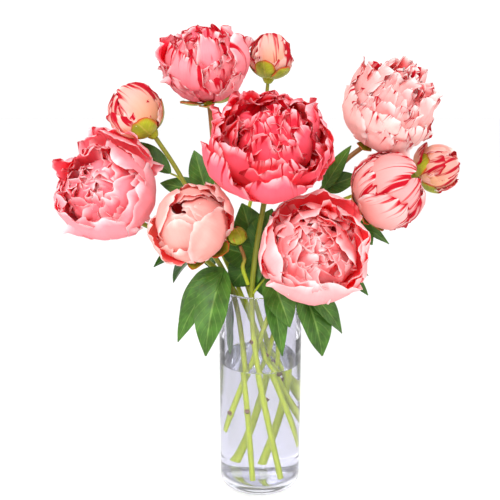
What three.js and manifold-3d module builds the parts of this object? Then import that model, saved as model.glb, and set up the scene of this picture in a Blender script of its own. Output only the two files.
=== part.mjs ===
// Peonies in a vase: seven double blooms, three half-open buds and one tight bud, on eight cut stems of which three
// have a side shoot, with thirteen leaves, standing in a straight glass cylinder that is part filled with water.
// Millimetres, +Z up. The origin is the centre of the vase's foot, and -Y is the front.
import * as THREE from "three";
import { mergeVertices } from "three/addons/utils/BufferGeometryUtils.js";
import Module from "manifold-3d";

const wasm = await Module();
wasm.setup();

// ---- Driving dimensions ----

const GAP = 0.35; // clearance between pieces that rest against each other

const VASE = { radius: 50, height: 255, wall: 3, floor: 12, corner: 10, innerCorner: 7, sides: 32 };
const WATER_LEVEL = 160;

const STEM = { radius: 3.3, sides: 6, steps: 11, points: 60, held: 5, clearance: 2.6, settle: 300, ease: 0.12 };
const SHOOT = { radius: 2.4, sides: 6, steps: 8 };

const PETAL = { thickness: 1, columns: 3, rows: 3, claw: 0.1, widest: 0.62, tipRounding: 0.24 };
const SEPAL = { thickness: 1, columns: 2, rows: 2, length: 27, halfWidth: 11 };
const LEAF = { thickness: 0.9, columns: 2, rows: 4, fold: 0.16, petioleRadius: 1.3 };

// Heights above a flower's seat, which is where its petals meet the stem.
const CALYX = { bottom: -10, top: -2.6, neck: 4.2, shoulder: 7.5 };
const GUARD_SEAT = { bottom: -2.2, top: 1.8, radius: 7 };
const MIDDLE_SEAT = { bottom: 2.2, top: 6, radius: 6 };
const HEART_FOOT = { bottom: 6.4, radius: 4 };

// Each open bloom: its seat, the way it faces, its radius, how far its guard petals lean out where they start,
// how far round they curl (both in degrees), and how many there are. Route is its stem, from the cut end up.
const BLOOMS = [
  {
    name: "centre_bloom", seat: [8, -45, 398], facing: [0.05, -0.72, 0.69],
    radius: 62, lean: 92, arc: 100, guards: 5, middles: 4,
    route: [[22, -24, 16], [-2, -25, 150], [-13, -25, 250], [-2, -24, 330]],
  },
  {
    name: "front_bloom", seat: [53, -58, 300], facing: [0.04, -0.86, 0.5],
    radius: 58, lean: 98, arc: 104, guards: 5, middles: 4,
    route: [[-38, -12, 72], [-9, -19, 165], [16, -20, 240], [44, -10, 282]],
  },
  {
    name: "left_bloom", seat: [-168, 8, 350], facing: [-0.18, -0.82, 0.54],
    radius: 56, lean: 92, arc: 112, guards: 5, middles: 4,
    route: [[40, 12, 66], [-33, 14, 250], [-84, 14, 302], [-132, 22, 322]],
  },
  {
    name: "top_bloom", seat: [-61, 30, 474], facing: [-0.12, -0.25, 0.96],
    radius: 46, lean: 90, arc: 106, guards: 5, middles: 4,
    route: [[34, 24, 84], [-16, 14, 255], [-52, 16, 360]],
  },
  {
    name: "right_bloom", seat: [130, 32, 428], facing: [0.4, -0.48, 0.78],
    radius: 52, lean: 94, arc: 104, guards: 5, middles: 4,
    route: [[2, 28, 16], [24, 14, 130], [24, 10, 255], [66, 18, 368], [104, 34, 408]],
  },
];

// Blooms that are still a closed ball, with no middle row of petals.
const BALLS = [
  {
    name: "pale_bloom", seat: [-62, -49, 318], facing: [-0.36, -0.56, 0.74],
    radius: 44, lean: 90, arc: 140, guards: 5,
    route: [[-8, -28, 16], [-17, -27, 145], [-31, -20, 255], [-45, -30, 292]],
  },
  {
    name: "low_right_bloom", seat: [118, -11, 354], facing: [0.74, -0.36, 0.57],
    radius: 41, lean: 90, arc: 138, guards: 5,
    route: [[-16, 32, 16], [32, -6, 255], [62, 4, 330], [92, 0, 347]],
  },
];

// A bud with a host is on a side shoot, which springs from the host's stem at a height.
const BUDS = [
  {
    name: "top_bud", seat: [10, 62, 501], facing: [0.1, -0.12, 0.99],
    radius: 27, lean: 90, arc: 128, guards: 4,
    host: "top_bloom", height: 296, route: [[-12, 38, 350], [6, 58, 430]],
  },
  {
    name: "left_bud", seat: [-127, 3, 440], facing: [-0.56, -0.16, 0.81],
    radius: 31, lean: 90, arc: 128, guards: 4,
    route: [[41, -6, 48], [-26, 0, 255], [-92, 2, 385]],
  },
  {
    name: "right_bud", seat: [191, 35, 383], facing: [0.86, -0.2, 0.47],
    radius: 28, lean: 92, arc: 122, guards: 4,
    host: "right_bloom", height: 336, route: [[100, 42, 352], [152, 42, 370]],
  },
];

const SMALL_BUD = {
  name: "small_bud", seat: [-27, -33, 322], facing: [-0.3, -0.12, 0.95], radius: 11.5, length: 31,
  host: "centre_bloom", height: 264, route: [[-21, -32, 288]],
};

// Each leaf: the stem it springs from and at what height, where its petiole forks, which way its upper face looks,
// and its leaflets, each with the place of its tip, its full width and how far its back is arched.
const LEAVES = [
  {
    name: "leaf_front_left", stem: "pale_bloom", height: 272, fork: [-42, -42, 288], face: [-0.35, -0.75, 0.55],
    leaflets: [
      { tip: [-62, -80, 197], width: 42, arch: 16 },
      { tip: [-96, -46, 201], width: 28, arch: 22 },
      { tip: [-98, -6, 214], width: 32, arch: 26 },
    ],
  },
  {
    name: "leaf_front", stem: "centre_bloom", height: 250, fork: [10, -40, 280], face: [0.1, -0.85, 0.5],
    leaflets: [
      { tip: [32, -72, 228], width: 36, arch: 10 },
      { tip: [24, -68, 192], width: 26, arch: 6 },
    ],
  },
  {
    name: "leaf_front_right", stem: "front_bloom", height: 262, fork: [45, -40, 266], face: [0.5, -0.7, 0.5],
    leaflets: [
      { tip: [70, -62, 190], width: 44, arch: 12 },
      { tip: [94, -42, 210], width: 30, arch: 16 },
    ],
  },
  {
    name: "leaf_right", stem: "low_right_bloom", height: 296, fork: [74, -2, 284], face: [0.2, -0.55, 0.8],
    leaflets: [
      { tip: [126, -22, 250], width: 28, arch: 12 },
      { tip: [132, 20, 262], width: 30, arch: 14 },
      { tip: [98, 24, 232], width: 30, arch: 12 },
    ],
  },
  {
    name: "leaf_under_bloom", stem: "low_right_bloom", height: 338, fork: [104, 16, 332], face: [0.2, -0.6, 0.75],
    leaflets: [
      { tip: [132, -2, 306], width: 32, arch: 6 },
      { tip: [154, 10, 304], width: 20, arch: 8 },
    ],
  },
  {
    name: "leaf_between", stem: "right_bloom", height: 360, fork: [73, 8, 370], face: [-0.1, -0.8, 0.55],
    leaflets: [
      { tip: [114, 10, 386], width: 26, arch: 6 },
      { tip: [103, -8, 424], width: 20, arch: 4 },
    ],
  },
  {
    name: "leaf_behind_left", stem: "top_bloom", height: 345, fork: [-64, 34, 358], face: [-0.1, -0.75, 0.6],
    leaflets: [
      { tip: [-80, 46, 412], width: 30, arch: 4 },
      { tip: [-122, 46, 372], width: 28, arch: 8 },
    ],
  },
  {
    name: "leaf_beside_bud", stem: "left_bud", height: 378, fork: [-106, 18, 388], face: [-0.4, -0.5, 0.75],
    leaflets: [{ tip: [-152, 30, 424], width: 24, arch: 8 }],
  },
  {
    name: "leaf_centre", stem: "centre_bloom", height: 278, fork: [-4, -10, 294], face: [0, -0.95, 0.3],
    leaflets: [
      { tip: [-22, -12, 358], width: 40, arch: 3 },
      { tip: [13, -14, 352], width: 38, arch: 3 },
      { tip: [-50, -12, 306], width: 34, arch: 4 },
      { tip: [34, -14, 300], width: 34, arch: 3 },
      { tip: [-36, -10, 258], width: 38, arch: 4 },
      { tip: [4, -12, 246], width: 26, arch: 2 },
    ],
  },
  {
    name: "leaf_back_left", stem: "top_bloom", height: 280, fork: [-52, 40, 296], face: [-0.5, 0.55, 0.65],
    leaflets: [
      { tip: [-112, 78, 236], width: 40, arch: 22 },
      { tip: [-62, 104, 246], width: 38, arch: 22 },
      { tip: [-132, 38, 268], width: 32, arch: 20 },
    ],
  },
  {
    name: "leaf_back", stem: "right_bloom", height: 262, fork: [8, 52, 290], face: [0.05, 0.75, 0.65],
    leaflets: [
      { tip: [4, 108, 214], width: 44, arch: 24 },
      { tip: [50, 104, 236], width: 36, arch: 22 },
      { tip: [-34, 104, 222], width: 34, arch: 22 },
    ],
  },
  {
    name: "leaf_back_right", stem: "right_bloom", height: 292, fork: [68, 46, 300], face: [0.5, 0.5, 0.7],
    leaflets: [
      { tip: [130, 84, 260], width: 38, arch: 20 },
      { tip: [92, 106, 268], width: 34, arch: 20 },
      { tip: [118, 52, 234], width: 34, arch: 20 },
    ],
  },
  {
    name: "leaf_in_vase", stem: "left_bloom", height: 244, fork: [-36, 3, 232], face: [-0.85, -0.4, 0.35],
    leaflets: [{ tip: [-37, -8, 168], width: 20, arch: 1 }],
  },
];

// ---- Colours ----

const finish = (color, roughness, extra = {}) =>
  new THREE.MeshStandardMaterial({ color, roughness, metalness: 0, ...extra });

const GLASS = finish("#dfe8e6", 0.05, { transparent: true, opacity: 0.3 });
const WATER = finish("#e4eedd", 0.05, { transparent: true, opacity: 0.3 });
const STALK = finish("#8fa23c", 0.5);
const FOLIAGE = finish("#3f6b2a", 0.45);
const SEPALS = finish("#93a043", 0.55);
const PETALS = {
  centre_bloom: finish("#ef5a6c", 0.6),
  front_bloom: finish("#f5a7a4", 0.6),
  left_bloom: finish("#f08f9c", 0.6),
  top_bloom: finish("#f2919c", 0.6),
  right_bloom: finish("#f7d5cb", 0.6),
  pale_bloom: finish("#f3d2c8", 0.6),
  low_right_bloom: finish("#f6d6d4", 0.6),
  top_bud: finish("#f0cbb4", 0.6),
  left_bud: finish("#eec2b0", 0.6),
  right_bud: finish("#f3c6c4", 0.6),
};

// ---- Solids ----

const vector = (p) => new THREE.Vector3(...p);
const radians = THREE.MathUtils.degToRad;

// A closed geometry as a manifold-3d solid, turned right side out if its faces point inwards.
function solidOf(geometry) {
  const plain = geometry.clone();
  plain.deleteAttribute("normal");
  plain.deleteAttribute("uv");
  const merged = mergeVertices(plain, 1e-4);
  const build = (triVerts) =>
    new wasm.Manifold(
      new wasm.Mesh({ numProp: 3, vertProperties: merged.attributes.position.array, triVerts }),
    );
  const triangles = new Uint32Array(merged.index.array);
  const made = build(triangles);
  if (made.volume() > 0) return made;
  for (let i = 0; i < triangles.length; i += 3)
    [triangles[i + 1], triangles[i + 2]] = [triangles[i + 2], triangles[i + 1]];
  return build(triangles);
}

function geometryOf(solid) {
  const { numProp, numVert, vertProperties, triVerts } = solid.getMesh();
  const places = new Float32Array(numVert * 3);
  for (let i = 0; i < numVert; i++)
    places.set(vertProperties.subarray(i * numProp, i * numProp + 3), i * 3);
  return new THREE.BufferGeometry()
    .setAttribute("position", new THREE.BufferAttribute(places, 3))
    .setIndex(new THREE.BufferAttribute(new Uint32Array(triVerts), 1));
}

const joined = (geometries) =>
  geometryOf(geometries.map(solidOf).reduce((all, next) => all.add(next)));

function meshOf(name, geometry, material) {
  const mesh = new THREE.Mesh(geometry, material);
  mesh.name = name;
  return mesh;
}

// A thin closed sheet. pointAt(u, v, side) gives its surface for u from -1 to 1, v from 0 to 1 and side 1 or -1.
function closedSheet(pointAt, columns, rows) {
  const places = [];
  for (const side of [1, -1])
    for (let j = 0; j <= rows; j++)
      for (let i = 0; i <= columns; i++)
        places.push(...pointAt((2 * i) / columns - 1, j / rows, side).toArray());
  const across = columns + 1;
  const back = across * (rows + 1);
  const faces = [];
  const quad = (a, b, c, d) => faces.push(a, b, c, a, c, d);
  for (let j = 0; j < rows; j++)
    for (let i = 0; i < columns; i++) {
      const corner = j * across + i;
      quad(corner, corner + across, corner + across + 1, corner + 1);
      quad(back + corner, back + corner + 1, back + corner + across + 1, back + corner + across);
    }
  const rim = (a, b) => quad(a, b, back + b, back + a);
  for (let i = 0; i < columns; i++) {
    rim(i, i + 1);
    rim(rows * across + i + 1, rows * across + i);
  }
  for (let j = 0; j < rows; j++) {
    rim((j + 1) * across, j * across);
    rim(j * across + columns, (j + 1) * across + columns);
  }
  return new THREE.BufferGeometry()
    .setAttribute("position", new THREE.BufferAttribute(new Float32Array(places), 3))
    .setIndex(faces);
}

function turned(profile, sides) {
  const geometry = new THREE.LatheGeometry(
    profile.map(([r, z]) => new THREE.Vector2(r, z)),
    sides,
  );
  return geometry.rotateX(Math.PI / 2); // a lathe turns about Y, and the vase and flowers stand along Z
}

const disc = ({ bottom, top, radius }, sides = 8) =>
  turned([[0, bottom], [radius, bottom], [radius, top], [0, top]], sides);

// Points of a quarter circle in a profile, from the angle start to the angle end in degrees.
const corner = (x, z, radius, start, end, steps = 3) =>
  Array.from({ length: steps + 1 }, (_, i) => {
    const angle = radians(start + ((end - start) * i) / steps);
    return [x + radius * Math.cos(angle), z + radius * Math.sin(angle)];
  });

// ---- Vase and water ----

function vase() {
  const { radius, height, wall, floor, corner: foot, innerCorner, sides } = VASE;
  const lip = wall / 2;
  const profile = [
    [0, 0],
    ...corner(radius - foot, foot, foot, -90, 0),
    ...corner(radius - lip, height - lip, lip, 0, 180, 4),
    ...corner(radius - wall - innerCorner, floor + innerCorner, innerCorner, 0, -90),
    [0, floor],
  ];
  return turned(profile, sides);
}

function water(stems) {
  const { radius, wall, floor, innerCorner, sides } = VASE;
  const reach = radius - wall - GAP;
  const profile = [
    [0, floor + GAP],
    ...corner(reach - innerCorner, floor + GAP + innerCorner, innerCorner, -90, 0),
    [reach, WATER_LEVEL],
    [0, WATER_LEVEL],
  ];
  const cuts = stems.map((stem) => solidOf(tube(stem.curve, stem.radius + GAP, STEM)));
  return geometryOf(cuts.reduce((rest, cut) => rest.subtract(cut), solidOf(turned(profile, sides))));
}

// ---- Stems ----

function tube(curve, radius, { sides, steps }) {
  const section = new THREE.Shape();
  for (let i = 0; i < sides; i++) {
    const angle = (2 * Math.PI * i) / sides;
    section[i ? "lineTo" : "moveTo"](radius * Math.cos(angle), radius * Math.sin(angle));
  }
  return new THREE.ExtrudeGeometry(section, { steps, extrudePath: curve, bevelEnabled: false });
}

// A stem as points along its route. It ends just under its flower's calyx, in line with the flower.
function stemPoints({ route, seat, facing }) {
  const axis = vector(facing).normalize();
  const top = vector(seat).addScaledVector(axis, CALYX.bottom - GAP);
  const under = vector(seat).addScaledVector(axis, CALYX.bottom - 18);
  const curve = new THREE.CatmullRomCurve3([...route.map(vector), under, top]);
  return curve.getSpacedPoints(STEM.points);
}

// Moves every point of two stems that are too close to each other sideways, by the same amount each.
function pushApart(a, b) {
  const room = a.radius + b.radius + STEM.clearance;
  const push = new THREE.Vector3();
  for (const p of a.points.slice(0, -STEM.held))
    for (const q of b.points.slice(0, -STEM.held)) {
      const apart = push.subVectors(p, q).length();
      if (apart >= room) continue;
      push.setZ(0).setLength((room - apart) / 2);
      p.add(push);
      q.sub(push);
    }
}

// A stem stays inside the vase's wall, and bends no more sharply than a stalk does.
function straighten({ points, radius }) {
  const limit = VASE.radius - VASE.wall - radius - 1;
  points.slice(1, -STEM.held).forEach((p, i) => {
    const between = points[i].clone().add(points[i + 2]).multiplyScalar(0.5);
    p.lerp(between, STEM.ease);
    const reach = Math.hypot(p.x, p.y);
    if (p.z < VASE.height + 8 && reach > limit) p.set((p.x * limit) / reach, (p.y * limit) / reach, p.z);
  });
}

// Works out how the stems lie beside each other, so that none passes through another. The last points of a stem
// stay put, so that it still meets its flower.
function settle(stems) {
  for (let round = 0; round < STEM.settle; round++) {
    stems.forEach(straighten);
    stems.forEach((a, i) => stems.slice(i + 1).forEach((b) => pushApart(a, b)));
  }
  return stems.map((stem) => ({ ...stem, curve: new THREE.CatmullRomCurve3(stem.points) }));
}

// The place beside a stem, at one height, where a shoot or a petiole of one radius springs from it.
function springing(host, height, towards, radius) {
  const stem = stems.find(({ name }) => name === `${host}_stem`);
  const axis = stem.curve.getSpacedPoints(200).find(({ z }) => z >= height);
  const away = towards.clone().sub(axis).setZ(0).normalize();
  return axis.addScaledVector(away, stem.radius + GAP + radius);
}

function shoot(spec) {
  const { name, host, height, route } = spec;
  const start = springing(host, height, vector(route[0]), SHOOT.radius);
  const points = stemPoints({ ...spec, route: [start.toArray(), ...route] });
  return { name: `${name}_stem`, radius: SHOOT.radius, curve: new THREE.CatmullRomCurve3(points) };
}

// ---- Flowers ----

// A petal's width along its length, as a share of its greatest width: a narrow claw that opens to a broad blade.
function petalOutline(v) {
  const { claw, widest } = PETAL;
  if (v < widest) return claw + (1 - claw) * Math.sin((Math.PI / 2) * (v / widest));
  return 1 - 0.22 * ((v - widest) / (1 - widest)) ** 2;
}

// A petal whose midrib is an arc of radius curl. It starts at the angle lean from the flower's axis, at a distance
// root from it and a height rise over the seat, and its blade is cupped across with the same radius.
function petal({ root, rise, lean, curl, length, halfWidth, turn, thickness, columns, rows }) {
  const out = new THREE.Vector3(Math.cos(turn), Math.sin(turn), 0);
  const along = new THREE.Vector3(-Math.sin(turn), Math.cos(turn), 0);
  const up = new THREE.Vector3(0, 0, 1);
  const start = radians(lean);
  return closedSheet(
    (u, v, side) => {
      const travel = v * length * (1 - PETAL.tipRounding * Math.abs(u) ** 3);
      const angle = start - travel / curl;
      const reach = root + curl * (Math.cos(angle) - Math.cos(start));
      const height = rise + curl * (Math.sin(start) - Math.sin(angle));
      const inward = out.clone().multiplyScalar(-Math.cos(angle)).addScaledVector(up, Math.sin(angle));
      const bend = (halfWidth * petalOutline(v) * u) / curl;
      const depth = curl * (1 - Math.cos(bend)) + ((side * thickness) / 2) * Math.cos(bend);
      const offset = curl * Math.sin(bend) - ((side * thickness) / 2) * Math.sin(bend);
      return out.clone().multiplyScalar(reach).addScaledVector(up, height)
        .addScaledVector(inward, depth).addScaledVector(along, offset);
    },
    columns,
    rows,
  );
}

// A ring of petals of one size. Every second one stands a little further out, so that neighbours overlap freely.
function petalRing(count, step, shape) {
  return Array.from({ length: count }, (_, i) => {
    const outer = i % 2;
    return petal({
      ...PETAL,
      ...shape,
      curl: shape.curl + outer * step,
      rise: shape.rise - outer * step * 0.5,
      turn: (2 * Math.PI * i) / count + (shape.phase ?? 0),
    });
  });
}

// The flower's ball of small folded inner petals: a round body whose radius rises and falls in folds.
function heart(radius, centre, folds) {
  const geometry = new THREE.SphereGeometry(1, 12, 6);
  geometry.rotateX(Math.PI / 2);
  const place = geometry.attributes.position;
  const p = new THREE.Vector3();
  for (let i = 0; i < place.count; i++) {
    p.fromBufferAttribute(place, i);
    const waist = Math.hypot(p.x, p.y);
    const fold = 0.1 * waist * Math.cos(folds * Math.atan2(p.y, p.x) + 4 * p.z);
    p.multiplyScalar(radius * (1 + fold));
    place.setXYZ(i, p.x, p.y, p.z + centre);
  }
  return geometry;
}

// The green cup that holds the petals: the swollen end of the stem, and the sepals under the guard petals.
function calyx({ radius, lean, guards }, { length, halfWidth } = SEPAL) {
  const { bottom, top, neck, shoulder } = CALYX;
  const cup = turned([[0, bottom], [neck, bottom], [shoulder, -6], [shoulder, top], [0, top]], 8);
  const sepals = petalRing(guards - 1, 0.8, {
    ...SEPAL, length, halfWidth, lean, root: 3, rise: -5.2, curl: radius + 0.5, phase: 0.4,
  });
  return joined([cup, ...sepals]);
}

const GUARD_STEP = 2.6;

function guardPetals({ radius, lean, arc, guards }) {
  const root = 4;
  const curl = radius - root - GUARD_STEP - 1;
  const shape = { root, rise: 0, lean, curl, length: curl * radians(arc), halfWidth: radius * 0.6 };
  return joined([disc(GUARD_SEAT), ...petalRing(guards, GUARD_STEP, shape)]);
}

function middlePetals({ radius, lean, arc, middles }) {
  const curl = radius * 0.66;
  const shape = {
    root: 3, rise: 4.5, lean: lean - 6, curl, length: curl * radians(arc - 4), halfWidth: radius * 0.42,
    columns: 2, phase: 0.5,
  };
  return joined([disc(MIDDLE_SEAT), ...petalRing(middles, 2, shape)]);
}

function heartPetals(radius, centre, folds) {
  const foot = disc({ ...HEART_FOOT, top: centre }, 6);
  return joined([foot, heart(radius, centre, folds)]);
}

// A flower's pieces in a group that is set on its seat and turned to face its way.
function flower({ seat, facing }, pieces) {
  const group = new THREE.Group();
  group.position.set(...seat);
  group.quaternion.setFromUnitVectors(new THREE.Vector3(0, 0, 1), vector(facing).normalize());
  group.add(...pieces);
  return group;
}

function openBloom(spec) {
  const { name, radius } = spec;
  return flower(spec, [
    meshOf(`${name}_calyx`, calyx(spec), SEPALS),
    meshOf(`${name}_guard_petals`, guardPetals(spec), PETALS[name]),
    meshOf(`${name}_middle_petals`, middlePetals(spec), PETALS[name]),
    meshOf(`${name}_heart_petals`, heartPetals(radius * 0.54, radius * 0.88, 6), PETALS[name]),
  ]);
}

function ballBloom(spec) {
  const { name, radius } = spec;
  return flower(spec, [
    meshOf(`${name}_calyx`, calyx(spec), SEPALS),
    meshOf(`${name}_guard_petals`, guardPetals(spec), PETALS[name]),
    meshOf(`${name}_heart_petals`, heartPetals(radius * 0.68, radius * 0.9, 5), PETALS[name]),
  ]);
}

// A half-open bud: petals closed over a round core, all one piece, on a calyx with shorter sepals.
function bud(spec) {
  const { name, radius } = spec;
  const core = heart(radius * 0.84, radius * 0.9, 5);
  const curl = radius - 4 - GUARD_STEP;
  const shape = {
    root: 4, rise: 0, lean: spec.lean, curl, length: curl * radians(spec.arc), halfWidth: radius * 0.62,
  };
  const petals = petalRing(spec.guards, GUARD_STEP, shape);
  const sepals = { length: radius * 0.8, halfWidth: radius * 0.36 };
  return flower(spec, [
    meshOf(`${name}_calyx`, calyx(spec, sepals), SEPALS),
    meshOf(`${name}_petals`, joined([disc(GUARD_SEAT), core, ...petals]), PETALS[name]),
  ]);
}

// A tight bud with its sepals still closed: a pointed egg.
function tightBud({ name, radius, length, ...spec }) {
  const profile = [[0, CALYX.bottom]];
  const steps = 6;
  for (let i = 0; i < steps; i++) {
    const share = i / steps;
    profile.push([Math.max(3, radius * Math.sin(Math.PI * share ** 0.8)), CALYX.bottom + length * share]);
  }
  profile.push([0, CALYX.bottom + length]);
  return flower(spec, [meshOf(name, turned(profile, 10), SEPALS)]);
}

// ---- Leaves ----

// A leaflet is pointed at both ends, folded a little along its midrib, and arched back from its face.
function leaflet(base, face, { tip, width, arch }) {
  const start = vector(base);
  const end = vector(tip);
  const look = vector(face).normalize();
  const crown = start.clone().lerp(end, 0.5).addScaledVector(look, arch);
  const midrib = new THREE.QuadraticBezierCurve3(start, crown, end);
  return closedSheet(
    (u, v, side) => {
      const forward = midrib.getTangent(v);
      const across = new THREE.Vector3().crossVectors(forward, look).normalize();
      const normal = new THREE.Vector3().crossVectors(across, forward).normalize();
      const half = Math.max(1, (width / 2) * Math.sin(Math.PI * v ** 0.8) ** 0.85);
      const lift = half * LEAF.fold * Math.abs(u) * 2 + (side * LEAF.thickness) / 2;
      return midrib.getPoint(v).addScaledVector(across, half * u).addScaledVector(normal, lift);
    },
    LEAF.columns,
    LEAF.rows,
  );
}

function leaf({ name, stem, height, fork, face, leaflets }) {
  const end = vector(fork);
  const start = springing(stem, height, end, LEAF.petioleRadius);
  const bow = start.clone().lerp(end, 0.5).add(new THREE.Vector3(0, 0, 2));
  const beyond = end.clone().addScaledVector(end.clone().sub(start).normalize(), 2);
  const petiole = new THREE.CatmullRomCurve3([start, bow, beyond]);
  return meshOf(
    name,
    joined([
      tube(petiole, LEAF.petioleRadius, { sides: 5, steps: 3 }),
      ...leaflets.map((shape) => leaflet(fork, face, shape)),
    ]),
    FOLIAGE,
  );
}

// ---- The bouquet in its vase ----

const isShoot = ({ host }) => host !== undefined;
const FLOWERS = [...BLOOMS, ...BALLS, ...BUDS, SMALL_BUD];
const stems = settle(
  FLOWERS.filter((spec) => !isShoot(spec)).map((spec) => ({
    name: `${spec.name}_stem`, radius: STEM.radius, points: stemPoints(spec),
  })),
);
const shoots = FLOWERS.filter(isShoot).map(shoot);

const bouquet = new THREE.Group();
bouquet.add(
  meshOf("vase", vase(), GLASS),
  meshOf("water", water(stems), WATER),
  ...stems.map(({ name, curve, radius }) => meshOf(name, tube(curve, radius, STEM), STALK)),
  ...shoots.map(({ name, curve, radius }) => meshOf(name, tube(curve, radius, SHOOT), STALK)),
  ...BLOOMS.map(openBloom),
  ...BALLS.map(ballBloom),
  ...BUDS.map(bud),
  tightBud(SMALL_BUD),
  ...LEAVES.map(leaf),
);

export default bouquet;
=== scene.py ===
"""Peonies in a glass vase: the looks of the bouquet, built round its CAD frame, in metres."""

import math

import bpy
import numpy as np
from mathutils import Matrix, Vector


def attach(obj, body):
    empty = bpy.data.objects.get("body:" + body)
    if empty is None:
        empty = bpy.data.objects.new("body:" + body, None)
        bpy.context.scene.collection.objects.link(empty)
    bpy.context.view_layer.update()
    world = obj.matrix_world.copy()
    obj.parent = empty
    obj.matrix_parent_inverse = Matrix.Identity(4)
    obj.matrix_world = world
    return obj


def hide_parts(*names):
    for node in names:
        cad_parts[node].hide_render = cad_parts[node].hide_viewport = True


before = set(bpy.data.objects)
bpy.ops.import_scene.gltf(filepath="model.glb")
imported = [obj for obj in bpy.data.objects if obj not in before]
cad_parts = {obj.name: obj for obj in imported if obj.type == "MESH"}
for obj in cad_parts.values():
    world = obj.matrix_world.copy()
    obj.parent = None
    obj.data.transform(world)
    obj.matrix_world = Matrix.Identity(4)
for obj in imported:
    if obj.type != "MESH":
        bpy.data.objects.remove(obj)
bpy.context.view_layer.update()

MM = 0.001
GOLDEN_ANGLE = math.radians(137.508)

# ---- Shared helpers ----


def hex_colour(text):
    """An sRGB hex colour as linear RGBA."""
    parts = [int(text[i : i + 2], 16) / 255 for i in (1, 3, 5)]
    linear = [p / 12.92 if p <= 0.04045 else ((p + 0.055) / 1.055) ** 2.4 for p in parts]
    return (*linear, 1.0)


def add(tree, kind, inputs=None, **settings):
    """Adds a node. Each input is a value, or a (node, output) pair that is linked to it."""
    node = tree.nodes.new(kind)
    for key, value in settings.items():
        setattr(node, key, value)
    for key, value in (inputs or {}).items():
        if isinstance(value, tuple) and isinstance(value[0], bpy.types.Node):
            tree.links.new(value[0].outputs[value[1]], node.inputs[key])
        else:
            node.inputs[key].default_value = value
    return node


def smoothstep(low, high, x):
    t = np.clip((x - low) / (high - low), 0, 1)
    return t * t * (3 - 2 * t)


def grid_faces(rows, columns):
    """Quads of a grid of (rows + 1) by (columns + 1) points, stored row by row."""
    corner = (np.arange(rows)[:, None] * (columns + 1) + np.arange(columns)).ravel()
    return np.stack([corner, corner + 1, corner + columns + 2, corner + columns + 1], axis=1)


def mesh_of(name, points, faces, attributes=None, uv=None):
    """A smooth mesh, with values on its points and, where given, a UV map that follows its surface."""
    mesh = bpy.data.meshes.new(name)
    mesh.from_pydata(points.tolist(), [], faces.tolist())
    for key, values in (attributes or {}).items():
        layer = mesh.attributes.new(key, "INT" if values.dtype.kind == "i" else "FLOAT", "POINT")
        layer.data.foreach_set("value", values)
    if uv is not None:
        layer = mesh.uv_layers.new(name="surface")
        layer.data.foreach_set("uv", uv[faces.ravel()].ravel())
    mesh.shade_smooth()
    return mesh


def shown(name, mesh):
    piece = bpy.data.objects.new(name, mesh)
    bpy.context.scene.collection.objects.link(piece)
    return piece


def evaluated_mesh(piece):
    """The mesh that a piece's modifiers make, as a plain mesh. The piece itself is removed."""
    graph = bpy.context.evaluated_depsgraph_get()
    mesh = bpy.data.meshes.new_from_object(piece.evaluated_get(graph), depsgraph=graph)
    bpy.data.objects.remove(piece)
    return mesh


def grown(tree, mesh, inputs):
    """What a Geometry Nodes tree makes of a mesh, as a plain mesh."""
    piece = shown(tree.name, mesh)
    modifier = piece.modifiers.new(tree.name, "NODES")
    modifier.node_group = tree
    sockets = {item.name: item.identifier for item in tree.interface.items_tree}
    for name, value in inputs.items():
        modifier[sockets[name]] = value
    return evaluated_mesh(piece)


def sheet_piece(name, mesh, thickness, materials, sharp=70):
    """A thin sheet as a closed piece, with the first material on its face and the second on its back."""
    mesh.materials.clear()
    for material in materials:
        mesh.materials.append(material)
    sheet = shown(f"{name}_sheet", mesh)
    wall = sheet.modifiers.new("thickness", "SOLIDIFY")
    wall.thickness = thickness
    wall.offset = -1
    wall.use_even_offset = False
    wall.material_offset = len(materials) - 1
    solid = evaluated_mesh(sheet)
    solid.set_sharp_from_angle(angle=math.radians(sharp))
    return shown(name, solid)


def finished(piece, slot, *nodes):
    """Hands a piece to the frame, and hides the CAD nodes it stands for. The slot that its finish would come
    from is not used.
    """
    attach(piece, "root")
    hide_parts(*nodes)
    return piece


# ---- Materials ----


def new_material(name, shader):
    material = bpy.data.materials.new(name)
    material.use_nodes = True
    tree = material.node_tree
    tree.nodes.clear()
    surface = add(tree, "ShaderNodeBsdfPrincipled", shader)
    add(tree, "ShaderNodeOutputMaterial", {"Surface": (surface, "BSDF")})
    return material, tree, surface


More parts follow.
